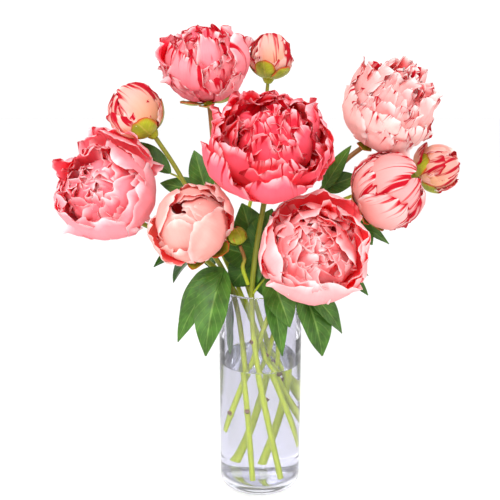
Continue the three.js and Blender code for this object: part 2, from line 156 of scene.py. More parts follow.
def petal_material(name, claw_colour_and_shade, body, rim, heart=None, flame="#d20026", flames=0.0, tongues=11.0):
    """A living petal: matt, faintly velvety and a little translucent, so that light glows inside the bloom.
    Its colour runs from the claw to the body to a paler rim, deepens towards the flower's heart, and has
    fine veins along the petal and, on some, crimson flames at its tip. The deep claw and heart colours are
    partly the petal's own colour and partly painted shade, for the crimson glow in the recesses of the bloom."""
    material, tree, surface = new_material(name, {
        "Roughness": 0.62,
        "IOR": 1.4,
        "Specular IOR Level": 0.25,
        "Sheen Weight": 0.12,
        "Sheen Roughness": 0.5,
    })
    uv = add(tree, "ShaderNodeUVMap", uv_map="surface")
    place = add(tree, "ShaderNodeSeparateXYZ", {"Vector": (uv, "UV")})
    edge = add(tree, "ShaderNodeAttribute", attribute_name="edge")
    shade = add(tree, "ShaderNodeAttribute", attribute_name="shade")
    inward = add(tree, "ShaderNodeAttribute", attribute_name="inward")

    # The colour deepens towards the flower's heart, by how far in the petal is, and towards the claw at the
    # petal's base. Both are partly the petal's own colour and partly painted shade: a saturated crimson that
    # stands in for the glow in the recesses between the petals.
    inner = hex_colour(heart or body)
    blade = add(tree, "ShaderNodeMix", {0: (inward, "Fac"), 6: hex_colour(body), 7: inner}, data_type="RGBA")
    up = add(tree, "ShaderNodeMapRange", {"Value": (place, "Y"), "From Min": 0.15, "From Max": 0.78})
    base = add(tree, "ShaderNodeMix", {0: (up, "Result"), 6: hex_colour(claw_colour_and_shade), 7: (blade, 2)},
               data_type="RGBA")

    # The paler rim is uneven, wider on some petals than on others.
    drift = add(tree, "ShaderNodeVectorMath", {0: (uv, "UV"), 1: (3.1, 2.3, 1.0)}, operation="MULTIPLY")
    blotch = add(tree, "ShaderNodeTexNoise", {"Vector": (drift, "Vector"), "W": (shade, "Fac"), "Scale": 1.0},
                 noise_dimensions="4D")
    spread = add(tree, "ShaderNodeMapRange", {"Value": (blotch, "Fac"), "From Min": 0.3, "From Max": 0.7,
                                              "To Min": -0.3, "To Max": 0.3})
    reach = add(tree, "ShaderNodeMath", {0: (edge, "Fac"), 1: (spread, "Result")}, operation="ADD")
    margin = add(tree, "ShaderNodeMapRange", {"Value": (reach, "Value"), "From Min": 0.3, "From Max": 0.98})
    last = add(tree, "ShaderNodeMix", {0: (margin, "Result"), 6: (base, 2), 7: hex_colour(rim)},
               data_type="RGBA")

    if flames:
        # Flames are long narrow tongues that run down from the tip, and are thickest at the margin.
        narrow = add(tree, "ShaderNodeMapping", {"Vector": (uv, "UV"), "Scale": (tongues, 1.1, 1.0)})
        many = add(tree, "ShaderNodeMath", {0: (shade, "Fac"), 1: 7.0}, operation="MULTIPLY")
        tongue = add(tree, "ShaderNodeTexNoise",
                     {"Vector": (narrow, "Vector"), "W": (many, "Value"), "Scale": 1.0, "Detail": 2.0,
                      "Distortion": 0.7}, noise_dimensions="4D")
        tip = add(tree, "ShaderNodeMapRange", {"Value": (place, "Y"), "From Min": 0.3, "From Max": 1.0,
                                               "To Min": -0.08, "To Max": 0.06})
        hot = add(tree, "ShaderNodeMath", {0: (edge, "Fac"), 1: 0.1, 2: (tip, "Result")},
                  operation="MULTIPLY_ADD")
        heat = add(tree, "ShaderNodeMath", {0: (tongue, "Fac"), 1: (hot, "Value")}, operation="ADD")
        flare = add(tree, "ShaderNodeMapRange", {"Value": (heat, "Value"), "From Min": 0.66 - 0.1 * flames,
                                                 "From Max": 0.75 - 0.1 * flames})
        last = add(tree, "ShaderNodeMix", {0: (flare, "Result"), 6: (last, 2), 7: hex_colour(flame)},
                   data_type="RGBA")

    # Veins run along the petal. They are finer than this in life, and drawn 1 to 2 mm apart so that they
    # show.
    stretched = add(tree, "ShaderNodeMapping", {"Vector": (uv, "UV"), "Scale": (44.0, 2.2, 1.0)})
    grain = add(tree, "ShaderNodeTexNoise", {"Vector": (stretched, "Vector"), "Scale": 1.0, "Detail": 3.0})
    vein = add(tree, "ShaderNodeMapRange", {"Value": (grain, "Fac"), "From Min": 0.3, "From Max": 0.7,
                                            "To Min": 0.96, "To Max": 1.04})
    own = add(tree, "ShaderNodeMapRange", {"Value": (shade, "Fac"), "To Min": 0.92, "To Max": 1.0})
    tone = add(tree, "ShaderNodeMath", {0: (vein, "Result"), 1: (own, "Result")}, operation="MULTIPLY")
    toned = add(tree, "ShaderNodeHueSaturation", {"Value": (tone, "Value"), "Color": (last, 2)})
    tree.links.new(toned.outputs["Color"], surface.inputs["Base Color"])
    pleat = add(tree, "ShaderNodeBump", {"Height": (grain, "Fac"), "Strength": 0.15, "Distance": 0.4 * MM})
    tree.links.new(pleat.outputs["Normal"], surface.inputs["Normal"])

    # Light that has come through the thin petal is a deeper colour than light off its face.
    through = add(tree, "ShaderNodeHueSaturation", {"Saturation": 1.6, "Color": (last, 2)})
    glow = add(tree, "ShaderNodeBsdfTranslucent", {"Color": (through, "Color")})
    lit = add(tree, "ShaderNodeMixShader", {0: 0.42, 1: (surface, "BSDF"), 2: (glow, "BSDF")})
    tree.links.new(lit.outputs["Shader"], tree.nodes["Material Output"].inputs["Surface"])
    return material


def leaf_material(name, blade, vein, roughness, side_veins=8, rim=None):
    """A peony leaf: waxy and smooth, with a pale midrib and side veins that run forwards to the margin. A
    sepal is the same, and flushed with another colour towards its rim."""
    material, tree, surface = new_material(name, {
        "Roughness": roughness,
        "IOR": 1.42,
        "Specular IOR Level": 0.3,
        "Subsurface Weight": 0.05,
        "Subsurface Radius": (0.5, 1.0, 0.2),
        "Subsurface Scale": 2 * MM,
    })
    coordinates = add(tree, "ShaderNodeTexCoord")
    uv = add(tree, "ShaderNodeUVMap", uv_map="surface")
    place = add(tree, "ShaderNodeSeparateXYZ", {"Vector": (uv, "UV")})
    from_midrib = add(tree, "ShaderNodeMath", {0: (place, "X"), 1: 0.5}, operation="SUBTRACT")
    out = add(tree, "ShaderNodeMath", {0: (from_midrib, "Value")}, operation="ABSOLUTE")
    slant = add(tree, "ShaderNodeMath", {0: (out, "Value"), 1: -0.55, 2: (place, "Y")},
                operation="MULTIPLY_ADD")
    ranks = add(tree, "ShaderNodeMath", {0: (slant, "Value"), 1: float(side_veins)}, operation="MULTIPLY")
    saw = add(tree, "ShaderNodeMath", {0: (ranks, "Value"), 1: 0.5}, operation="PINGPONG")
    side = add(tree, "ShaderNodeMapRange", {"Value": (saw, "Value"), "From Min": 0.0, "From Max": 0.09,
                                            "To Min": 0.6, "To Max": 0.0})
    middle = add(tree, "ShaderNodeMapRange", {"Value": (out, "Value"), "From Min": 0.012, "From Max": 0.045,
                                              "To Min": 1.0, "To Max": 0.0})
    ribs = add(tree, "ShaderNodeMath", {0: (side, "Result"), 1: (middle, "Result")}, operation="MAXIMUM")
    mottle = add(tree, "ShaderNodeTexNoise", {"Vector": (coordinates, "Object"), "Scale": 1 / (14 * MM),
                                              "Detail": 3.0})
    tone = add(tree, "ShaderNodeMapRange", {"Value": (mottle, "Fac"), "From Min": 0.3, "From Max": 0.7,
                                            "To Min": 0.6, "To Max": 1.4})
    mixed = add(tree, "ShaderNodeMix", {0: (ribs, "Value"), 6: hex_colour(blade), 7: hex_colour(vein)},
                data_type="RGBA")
    if rim:
        edge = add(tree, "ShaderNodeAttribute", attribute_name="edge")
        patchy = add(tree, "ShaderNodeMath", {0: (edge, "Fac"), 1: (mottle, "Fac")}, operation="MULTIPLY")
        flush = add(tree, "ShaderNodeMapRange",
                    {"Value": (patchy, "Value"), "From Min": 0.12, "From Max": 0.55})
        mixed = add(tree, "ShaderNodeMix", {0: (flush, "Result"), 6: (mixed, 2), 7: hex_colour(rim)},
                    data_type="RGBA")
    toned = add(tree, "ShaderNodeHueSaturation", {"Value": (tone, "Result"), "Color": (mixed, 2)})
    tree.links.new(toned.outputs["Color"], surface.inputs["Base Color"])
    sunk = add(tree, "ShaderNodeBump", {"Height": (ribs, "Value"), "Strength": 0.5, "Distance": 0.5 * MM})
    sunk.invert = True
    tree.links.new(sunk.outputs["Normal"], surface.inputs["Normal"])
    return material


def stalk_material(name, low, high):
    """A fresh peony stalk: smooth, faintly ridged and slightly waxy. It is yellow-green in the water and
    darker or browner towards the flower."""
    material, tree, surface = new_material(name, {
        "Roughness": 0.42,
        "IOR": 1.42,
        "Subsurface Weight": 0.08,
        "Subsurface Radius": (0.6, 1.0, 0.2),
        "Subsurface Scale": 2 * MM,
    })
    coordinates = add(tree, "ShaderNodeTexCoord")
    along = add(tree, "ShaderNodeAttribute", attribute_name="along")
    up = add(tree, "ShaderNodeMapRange", {"Value": (along, "Fac"), "From Min": 0.35, "From Max": 0.75})
    green = add(tree, "ShaderNodeMix", {0: (up, "Result"), 6: hex_colour(low), 7: hex_colour(high)},
                data_type="RGBA")
    streaks = add(tree, "ShaderNodeMapping", {"Vector": (coordinates, "Object"), "Scale": (1.0, 1.0, 0.12)})
    fibre = add(tree, "ShaderNodeTexNoise", {"Vector": (streaks, "Vector"), "Scale": 1 / (2.5 * MM),
                                             "Detail": 3.0})
    tone = add(tree, "ShaderNodeMapRange", {"Value": (fibre, "Fac"), "From Min": 0.3, "From Max": 0.7,
                                            "To Min": 0.84, "To Max": 1.14})
    toned = add(tree, "ShaderNodeHueSaturation", {"Value": (tone, "Result"), "Color": (green, 2)})
    tree.links.new(toned.outputs["Color"], surface.inputs["Base Color"])
    return material


def clear_material(name, colour, ior):
    """Clear glass, or water: it bends what is seen through it and tints it very slightly."""
    return new_material(name, {
        "Base Color": hex_colour(colour),
        "Roughness": 0.0,
        "IOR": ior,
        "Transmission Weight": 1.0,
    })[0]


soda_glass = clear_material("clear soda-lime glass", "#e6e5f0", 1.5)
vase_water = clear_material("vase water", "#f8faf6", 1.333)
fresh_stalk = stalk_material("fresh peony stalk", "#b2c22c", "#7d8226")
brown_stalk = stalk_material("sun-browned peony stalk", "#b2c22c", "#8a5c26")
cut_stub = stalk_material("browned cut stub", "#6a4424", "#6a4424")
leaf_top = leaf_material("waxy leaf, upper face", "#234a04", "#4a6e1c", 0.28)
leaf_under = leaf_material("waxy leaf, underside", "#3e6420", "#64843c", 0.45)
sepal_green = leaf_material("peony sepal", "#98a024", "#b4ac40", 0.45, rim="#b83c20")


# ---- Petals ----
# A flower is built with a radius of 1, its seat at the origin and its axis along +Z, then set in its place.


def blade(shape, seed):
    """One petal as a grid. Its base is at the origin and its blade leans out along +Y. Its midrib starts at
    the angle lean from the axis and turns back by the angle curl, all in degrees, then rolls out by flare
    at the tip."""
    rng = np.random.default_rng(seed)
    rows, columns = shape["rows"], shape["columns"]
    length = shape["length"] * rng.uniform(0.94, 1.06)
    half_width = shape["half_width"] * rng.uniform(0.88, 1.08)
    v, u = np.meshgrid(np.linspace(0, 1, rows + 1) ** 0.9, np.linspace(-1, 1, columns + 1), indexing="ij")

    # The tip is rounded, and cut into uneven lobes.
    lobes = sum(weight * np.sin(k * u * rng.uniform(0.8, 1.2) + rng.uniform(0, 6.3))
                for k, weight in ((3.2, 0.5), (7.0, 0.4), (13.0, 0.25)))
    notch = rng.uniform(0.0, 0.8) * np.exp(-((u - rng.uniform(-0.4, 0.4)) / 0.2) ** 2)
    cut = shape["lobe"] * (lobes - notch)
    travel = v * (1 - 0.2 * np.abs(u) ** 3 + cut * v**5)

    # The midrib is summed from its direction, step by step, a little past the tip for the longest lobes.
    steps, step = np.linspace(0, 1.25, 126, retstep=True)
    flare = math.radians(shape["flare"] * rng.uniform(0.4, 1.5))
    turn = math.radians(shape["curl"] * rng.uniform(0.92, 1.06))
    angle = math.radians(shape["lean"]) - turn * steps + flare * smoothstep(0.72, 1.05, steps) * steps
    out = np.concatenate([[0], np.cumsum(np.sin(angle[:-1]))]) * length * step
    rise = np.concatenate([[0], np.cumsum(np.cos(angle[:-1]))]) * length * step
    at = lambda values: np.interp(travel, steps, values)
    theta = at(angle)

    # Across, the blade is an arc. Its width swells from a narrow claw to a broad blade.
    swell = np.where(travel < 0.55, 0.16 + 0.84 * np.sin(np.pi / 2 * np.clip(travel / 0.55, 0, 1)) ** 1.1,
                     np.sqrt(1 - (0.72 * np.clip((travel - 0.55) / 0.45, 0, 1)) ** 2))
    width = half_width * swell
    cup = shape["cup"] * (1 + 1.4 * smoothstep(0.4, 1.0, v) * shape["opening"])
    bend = width * u / cup
    side = cup * np.sin(bend)
    depth = cup * (1 - np.cos(bend))

    # Ruffles grow towards the rim, and follow it round.
    rim = np.minimum((1 - np.abs(u)) * width * 1.3, (1 - v) * length) / half_width
    ruffled = np.exp(-rim / 0.4) * smoothstep(0.1, 0.45, v)
    round_rim = np.arctan2(u * half_width * 1.2, (v - 0.45) * length)
    waves = sum(weight * np.sin(k * rng.uniform(0.85, 1.15) * round_rim + rng.uniform(0, 6.3))
                for k, weight in ((3, 0.8), (6, 0.6), (12, 0.3), (20, 0.14)))
    fold = 0.5 * np.sin(rng.uniform(2.5, 4.5) * u + rng.uniform(0, 6.3)) * smoothstep(0.2, 0.8, v)
    lift = shape["frill"] * (ruffled * waves + 0.5 * fold)
    crease = -shape["crease"] * np.exp(-((u / 0.16) ** 2)) * smoothstep(0.0, 0.4, v)

    normal_x = -np.sin(bend)
    inward = depth + (lift + crease) * np.cos(bend)
    x = side + (lift + crease) * normal_x
    y = at(out) - inward * np.cos(theta)
    z = at(rise) + inward * np.sin(theta)
    points = np.stack([x, y, z], axis=-1).reshape(-1, 3)
    uv = np.stack([u / 2 + 0.5, v], axis=-1).reshape(-1, 2)
    edge = (np.exp(-rim / 0.24) * smoothstep(0.15, 0.6, v)).ravel()
    return points, uv, edge


KINDS = 5  # unlike petals that each whorl picks from


def petal_kinds(shape, seed):
    """A few unlike petals of one shape, as one mesh whose points say which petal they belong to."""
    made = [blade(shape, seed * 10 + kind) for kind in range(KINDS)]
    count = len(made[0][0])
    faces = grid_faces(shape["rows"], shape["columns"])
    return mesh_of(
        "petal_kinds",
        np.concatenate([points for points, _, _ in made]),
        np.concatenate([faces + count * kind for kind in range(KINDS)]),
        {"edge": np.concatenate([edge for _, _, edge in made]), "kind": np.repeat(np.arange(KINDS), count)},
        np.concatenate([uv for _, uv, _ in made]),
    )


def whorl_tree():
    """Petals set round the axis from the outermost in, each a golden angle on from the last. Each one is
    picked at random from the petals it is given, tilts, rolls and ruffles in its own way, and remembers how
    far in it is."""
    tree = bpy.data.node_groups.new("petal whorl", "GeometryNodeTree")
    tree.interface.new_socket("Petals to Set", in_out="INPUT", socket_type="NodeSocketGeometry")
    for name, kind in (
        ("Count", "Int"), ("Seed", "Int"), ("First Angle", "Float"), ("Outer Tilt", "Float"),
        ("Inner Tilt", "Float"), ("Tilt Spread", "Float"), ("Outer Size", "Float"),
        ("Inner Size", "Float"), ("Outer Ring", "Float"), ("Inner Ring", "Float"),
        ("Outer Height", "Float"), ("Inner Height", "Float"), ("Outer Depth", "Float"),
        ("Inner Depth", "Float"), ("Ruffle", "Float"), ("Face", "Material"),
    ):
        tree.interface.new_socket(name, in_out="INPUT", socket_type=f"NodeSocket{kind}")
    tree.interface.new_socket("Whorl", in_out="OUTPUT", socket_type="NodeSocketGeometry")
    given = add(tree, "NodeGroupInput")

    number = add(tree, "GeometryNodeInputIndex")
    gaps = add(tree, "ShaderNodeMath", {0: (given, "Count"), 1: 1.0}, operation="SUBTRACT")
    some = add(tree, "ShaderNodeMath", {0: (gaps, "Value"), 1: 1.0}, operation="MAXIMUM")
    inwards = add(tree, "ShaderNodeMath", {0: (number, "Index"), 1: (some, "Value")}, operation="DIVIDE")

    def from_outer_to_inner(what):
        return add(tree, "ShaderNodeMapRange",
                   {"Value": (inwards, "Value"), "To Min": (given, f"Outer {what}"),
                    "To Max": (given, f"Inner {what}")})

    def scatter(low, high, offset):
        seed = add(tree, "ShaderNodeMath", {0: (given, "Seed"), 1: float(offset)}, operation="ADD")
        return add(tree, "FunctionNodeRandomValue", {2: low, 3: high, 8: (seed, "Value")}, data_type="FLOAT")

    golden = add(tree, "ShaderNodeMath", {0: (number, "Index"), 1: GOLDEN_ANGLE, 2: (given, "First Angle")},
                 operation="MULTIPLY_ADD")
    azimuth = add(tree, "ShaderNodeMath", {0: (golden, "Value"), 1: (scatter(-0.3, 0.3, 0), 1)},
                  operation="ADD")
    sway = add(tree, "ShaderNodeMath", {0: (scatter(-1.0, 1.0, 1), 1), 1: (given, "Tilt Spread"),
                                        2: (from_outer_to_inner("Tilt"), "Result")}, operation="MULTIPLY_ADD")
    roll = add(tree, "ShaderNodeMath", {0: (scatter(-1.0, 1.0, 2), 1), 1: (given, "Tilt Spread")},
               operation="MULTIPLY")
    turn = add(tree, "ShaderNodeCombineXYZ",
               {"X": (sway, "Value"), "Y": (roll, "Value"), "Z": (azimuth, "Value")})
    rotation = add(tree, "FunctionNodeEulerToRotation", {"Euler": (turn, "Vector")})
    size = add(tree, "ShaderNodeMath",
               {0: (scatter(0.84, 1.1, 3), 1), 1: (from_outer_to_inner("Size"), "Result")},
               operation="MULTIPLY")
    root = add(tree, "ShaderNodeCombineXYZ", {"Y": (from_outer_to_inner("Ring"), "Result"),
                                              "Z": (from_outer_to_inner("Height"), "Result")})
    spot = add(tree, "ShaderNodeVectorRotate", {"Vector": (root, "Vector"), "Angle": (azimuth, "Value")},
               rotation_type="Z_AXIS")

    points = add(tree, "GeometryNodePoints", {"Count": (given, "Count"), "Position": (spot, "Vector")})
    # How far in a petal is, stored as inward, sets how much heart colour it takes: partly its own colour,
    # partly painted shade for the recesses.
    heart_and_shade_depth = add(tree, "GeometryNodeStoreNamedAttribute",
               {"Geometry": (points, "Points"), "Name": "inward",
                "Value": (from_outer_to_inner("Depth"), "Result")}, data_type="FLOAT", domain="POINT")
    toned = add(tree, "GeometryNodeStoreNamedAttribute",
                {"Geometry": (heart_and_shade_depth, "Geometry"), "Name": "shade", "Value": (scatter(0.0, 1.0, 4), 1)},
                data_type="FLOAT", domain="POINT")
    kind = add(tree, "GeometryNodeInputNamedAttribute", {"Name": "kind"}, data_type="INT")
    kinds = add(tree, "GeometryNodeSplitToInstances", {"Geometry": (given, "Petals to Set"),
                                                       "Group ID": (kind, "Attribute")}, domain="POINT")
    pick_seed = add(tree, "ShaderNodeMath", {0: (given, "Seed"), 1: 5.0}, operation="ADD")
    pick = add(tree, "FunctionNodeRandomValue", {4: 0, 5: KINDS - 1, 8: (pick_seed, "Value")},
               data_type="INT")
    placed = add(tree, "GeometryNodeInstanceOnPoints",
                 {"Points": (toned, "Geometry"), "Instance": (kinds, "Instances"), "Pick Instance": True,
                  "Instance Index": (pick, 2), "Rotation": (rotation, "Rotation"), "Scale": (size, "Value")})
    real = add(tree, "GeometryNodeRealizeInstances", {"Geometry": (placed, "Instances")})

    edge = add(tree, "GeometryNodeInputNamedAttribute", {"Name": "edge"}, data_type="FLOAT")
    shade = add(tree, "GeometryNodeInputNamedAttribute", {"Name": "shade"}, data_type="FLOAT")
    where = add(tree, "GeometryNodeInputPosition")
    own = add(tree, "ShaderNodeMath", {0: (shade, "Attribute"), 1: 40.0}, operation="MULTIPLY")
    noise = add(tree, "ShaderNodeTexNoise", {"Vector": (where, "Position"), "W": (own, "Value"), "Scale": 4.2,
                                             "Detail": 1.0}, noise_dimensions="4D")
    swing = add(tree, "ShaderNodeMapRange", {"Value": (noise, "Fac"), "From Min": 0.25, "From Max": 0.75,
                                             "To Min": -1.0, "To Max": 1.0})
    looser = add(tree, "ShaderNodeMapRange", {"Value": (edge, "Attribute"), "To Min": 0.15, "To Max": 1.0})
    wave = add(tree, "ShaderNodeMath", {0: (swing, "Result"), 1: (looser, "Result")}, operation="MULTIPLY")
    high = add(tree, "ShaderNodeMath", {0: (wave, "Value"), 1: (given, "Ruffle")}, operation="MULTIPLY")
    normal = add(tree, "GeometryNodeInputNormal")
    push = add(tree, "ShaderNodeVectorMath", {0: (normal, "Normal"), "Scale": (high, "Value")},
               operation="SCALE")
    ruffled = add(tree, "GeometryNodeSetPosition",
                  {"Geometry": (real, "Geometry"), "Offset": (push, "Vector")})
    faced = add(tree, "GeometryNodeSetMaterial",
                {"Geometry": (ruffled, "Geometry"), "Material": (given, "Face")})
    add(tree, "NodeGroupOutput", {"Whorl": (faced, "Geometry")})
    return tree


whorl = whorl_tree()

# Petal shapes. Lengths are shares of the flower's radius, and angles are in degrees.
GUARD = dict(length=2.0, half_width=0.86, lean=94, curl=126, flare=0, cup=0.9, opening=0.15, frill=0.06,
             lobe=0.035, crease=0.015, rows=22, columns=20)
SHORT = dict(length=1.6, half_width=0.8, lean=95, curl=112, flare=6, cup=0.92, opening=0.0, frill=0.05,
             lobe=0.05, crease=0.02, rows=20, columns=18)
CLOSED = dict(length=2.7, half_width=0.8, lean=92, curl=176, flare=0, cup=0.86, opening=0.0, frill=0.05,
              lobe=0.04, crease=0.02, rows=26, columns=18)
WRAP = dict(length=2.1, half_width=0.8, lean=93, curl=140, flare=-10, cup=0.9, opening=0.0, frill=0.045,
            lobe=0.05, crease=0.02, rows=22, columns=18)
BROAD = dict(length=1.7, half_width=0.66, lean=86, curl=132, flare=8, cup=0.66, opening=0.2, frill=0.1,
             lobe=0.05, crease=0.02, rows=20, columns=18)
RUFFLED = dict(length=1.3, half_width=0.4, lean=66, curl=138, flare=4, cup=0.42, opening=0.4, frill=0.14,
               lobe=0.09, crease=0.03, rows=20, columns=18)
SEPAL = dict(length=0.62, half_width=0.20, lean=96, curl=50, flare=16, cup=0.4, opening=0.0, frill=0.01,
             lobe=0.02, crease=0.02, rows=12, columns=8)
BUD_SEPAL = dict(length=1.3, half_width=0.5, lean=90, curl=84, cup=0.9)

# ---- Flowers ----

STEM_CORNERS = 6  # on each ring of a CAD stem
CUP_CORNERS = 9  # round the flat underside of a CAD calyx
SMALL_BUD_CORNERS = 11  # on the underside of the small bud, which has no calyx
SEAT_HEIGHT = 10 * MM  # of a flower's seat above that underside
SEPAL_COUNT = 5
SEPAL_LENGTH = 34  # under an open or closed bloom, in millimetres
SEPAL_HALF_WIDTH = 12


def mesh_points(node):
    """The corners of a CAD node's mesh, each one once."""
    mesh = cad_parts[node].data
    points = np.empty(len(mesh.vertices) * 3)
    mesh.vertices.foreach_get("co", points)
    return np.unique(points.reshape(-1, 3).round(6), axis=0)


def stem_rings(name):
    """The middle of each ring of corners along a CAD stem, from its cut end up."""
    left = mesh_points(f"{name}_stem")
    middle = left[left[:, 2].argmin()]
    rings = []
    while len(left):
        nearest = np.argsort(np.linalg.norm(left - middle, axis=1))[:STEM_CORNERS]
        middle = left[nearest].mean(axis=0)
        rings.append(middle)
        left = np.delete(left, nearest, axis=0)
    return np.array(rings)


def flower_place(node, stem, corners):
    """Where a flower sits and which way it faces, as a matrix without its size. They come from the flat
    underside of its CAD calyx, whose corners are the ones nearest the stem's end, 10 mm below the seat."""
    end = stem_rings(stem)[-1]
    points = mesh_points(node)
    flat = points[np.argsort(np.linalg.norm(points - end, axis=1))[:corners]]
    middle = flat.mean(axis=0)
    axis = np.linalg.svd(flat - middle)[2][2]
    if axis @ (points.mean(axis=0) - middle) < 0:
        axis = -axis
    seat = Vector(middle) + SEAT_HEIGHT * Vector(axis)
    return Matrix.Translation(seat) @ Vector(axis).to_track_quat("Z", "Y").to_matrix().to_4x4()


def whorl_piece(name, place, radius, shape, seed, settings, faces, thickness=0.35, height=1.0):
    """A ring or a spiral of petals as one closed piece, set in its flower's place. A height below 1
    flattens it."""
    inputs = {"Seed": seed, "First Angle": 0.0, "Outer Tilt": 0.0, "Inner Tilt": 0.0, "Tilt Spread": 0.05,
              "Outer Size": 1.0, "Inner Size": 1.0, "Outer Ring": 0.05, "Inner Ring": 0.05,
              "Outer Height": 0.0, "Inner Height": 0.0, "Outer Depth": 0.0, "Inner Depth": 0.0,
              "Ruffle": 0.05}
    for key, value in settings.items():
        words = key.replace("_", " ").title()
        if isinstance(value, tuple):
            inputs[f"Outer {words}"], inputs[f"Inner {words}"] = (float(one) for one in value)
        else:
            inputs[words] = value
    mesh = grown(whorl, petal_kinds(shape, seed), {**inputs, "Face": faces[0]})
    mesh.transform(place @ Matrix.Diagonal((radius * MM, radius * MM, radius * MM * height, 1)))
    return sheet_piece(name, mesh, thickness * MM, faces)


def lathe(profile, sides):
    """A closed turned shape about the Z axis. The profile starts and ends on the axis, and runs up the
    outside."""
    profile = np.array(profile, float)
    turns = np.arange(sides) * 2 * np.pi / sides
    inner = profile[1:-1]
    rings = np.stack([np.outer(inner[:, 0], np.cos(turns)), np.outer(inner[:, 0], np.sin(turns)),
                      np.repeat(inner[:, 1:], sides, axis=1)], axis=-1).reshape(-1, 3)
    first, last = len(rings), len(rings) + 1
    points = np.vstack([rings, [[0, 0, profile[0, 1]], [0, 0, profile[-1, 1]]]])
    faces = []
    for side in range(sides):
        beside = (side + 1) % sides
        faces.append((first, beside, side))
        top = (len(inner) - 1) * sides
        faces.append((last, top + side, top + beside))
        for ring in range(len(inner) - 1):
            a, b = ring * sides + side, ring * sides + beside
            faces.append((a, b, b + sides, a + sides))
    return points, faces


def calyx_piece(name, place, radius, seed, sepal):
    """The swollen end of the stem, with the sepals that hold the petals from below."""
    profile = [(0, -10), (4.0, -10), (5.4, -8.4), (7.2, -5), (7.6, -2), (6, 1), (0, 2)]
    points, faces = lathe(np.array(profile) * MM, 24)
    cup = bpy.data.meshes.new("cup")
    cup.from_pydata(points.tolist(), [], faces)
    cup.shade_smooth()
    cup.transform(place)
    cup.materials.append(sepal_green)
    cup_piece = shown("cup", cup)
    lower = place @ Matrix.Translation((0, 0, -3.5 * MM))
    sepals = whorl_piece("sepals", lower, radius, {**SEPAL, **sepal}, seed,
                         {"Count": SEPAL_COUNT, "Tilt_Spread": 0.12, "ring": (0.09, 0.09), "Ruffle": 0.02},
                         [sepal_green, sepal_green], 0.6)
    return joined_piece(f"{name}_calyx", [cup_piece, sepals])


def joined_piece(name, parts):
    """Several closed meshes as one piece."""
    with bpy.context.temp_override(active_object=parts[0], selected_editable_objects=parts):
        bpy.ops.object.join()
    parts[0].name = name
    parts[0].data.name = name
    return parts[0]


# The faces and backs of the petals of each flower, from the guard petals in to the heart, each with its claw,
# body, rim and heart colours. The deep claw and heart colours are partly the petals' own colour and partly
# painted shade, for the crimson glow in the recesses of the bloom.
coral_face = petal_material("coral petal, face", "#f6001c", "#ff1439", "#ffbcc6", "#f40022", flames=0.3)
coral_back = petal_material("coral petal, back", "#fc2844", "#ff7c92", "#ffd8de", "#ff2444", flames=0.5)
blush_face = petal_material("blush petal, face", "#ff1838", "#ff7880", "#ffe0e0", "#ff1c3e", flames=0.3)
blush_back = petal_material("blush petal, back", "#ff9690", "#ffd0d2", "#fff4f4", "#ff8088")
rose_face = petal_material("rose petal, face", "#ff2850", "#ffa8b6", "#fff0f2", "#ff4a6a", flames=0.3)
rose_back = petal_material("rose petal, back", "#ff7c92", "#ffc0ca", "#fff0f2", "#ff8094")
pink_face = petal_material("pink petal, face", "#f40030", "#ff5070", "#ffdce0", "#ff1840", flames=0.5)
pink_back = petal_material("pink petal, back", "#fc5070", "#ffc4ca", "#fff6f6", "#ff6c84", flames=0.9,
                           tongues=7.0)
cream_face = petal_material("cream-pink petal, face", "#ff2844", "#ffd2cc", "#fff8f6", "#ff7c88", flames=0.6)
cream_back = petal_material("cream-pink petal, back", "#ffb4a8", "#ffe6e0", "#fffaf8", "#ffb0b0", flames=0.15)
striped_back = petal_material("striped petal, back", "#ffa494", "#ffe4e0", "#fff8f6", "#ffb0b0", flames=1.3,
                              tongues=9.0)
pale_face = petal_material("shell-pink petal, face", "#ff1838", "#ffd2ca", "#fff6f2", "#ff7c88", flames=0.4)
pale_back = petal_material("shell-pink petal, back", "#fabcac", "#f9d2c8", "#fff0ea", "#fcc2b8")
bud_face = petal_material("bud petal, face", "#f01434", "#ffccc0", "#fff0ea", "#f42844", flames=1.3,
                          tongues=6.0)
bud_back = petal_material("bud petal, back", "#f0c47c", "#ffdacc", "#fff2ea", "#ffb4a8", flames=1.4,
                          tongues=6.0)

# A bloom's whorls: the shape of their petals, and how they are set. Pairs run from the outermost petal to the
# innermost. Angles are in radians, and the rest is in shares of the flower's radius.
# depth is how much of the heart colour a whorl's petals take, which is partly painted shade for the recesses.
OPEN = {
    "guard_petals": (
        {**GUARD, "curl": 116},
        dict(Count=8, tilt=(0.0, 0.06), size=(0.98, 0.86), height=(0.0, 0.06), depth=(0.0, 0.1),
             Ruffle=0.09, Tilt_Spread=0.08),
    ),
    "middle_petals": (
        {**BROAD, "curl": 122},
        dict(Count=14, tilt=(-0.16, 0.0), size=(1.1, 0.92), ring=(0.08, 0.06), height=(0.05, 0.2),
             depth=(0.2, 0.8), Ruffle=0.12, Tilt_Spread=0.16),
    ),
    "heart_petals": (
        RUFFLED,
        dict(Count=46, tilt=(-0.26, 0.2), size=(1.12, 0.84), ring=(0.22, 0.02), height=(0.26, 0.54),
             depth=(0.4, 1.0), Ruffle=0.14, Tilt_Spread=0.26),
    ),
}
ROSETTE = {
    "guard_petals": (
        GUARD,
        dict(Count=8, tilt=(0.0, 0.08), size=(1.0, 0.94), height=(0.0, 0.03), depth=(0.0, 0.0), Ruffle=0.07),
    ),
    "middle_petals": (
        BROAD,
        dict(Count=15, tilt=(-0.06, 0.12), size=(1.24, 0.96), ring=(0.08, 0.06), height=(0.03, 0.24),
             depth=(0.0, 0.6), Ruffle=0.08, Tilt_Spread=0.16),
    ),
    "heart_petals": (
        RUFFLED,
        dict(Count=42, tilt=(-0.14, 0.3), size=(1.3, 0.84), ring=(0.22, 0.03), height=(0.16, 0.5),
             depth=(0.4, 1.0), Ruffle=0.1, Tilt_Spread=0.22),
    ),
}
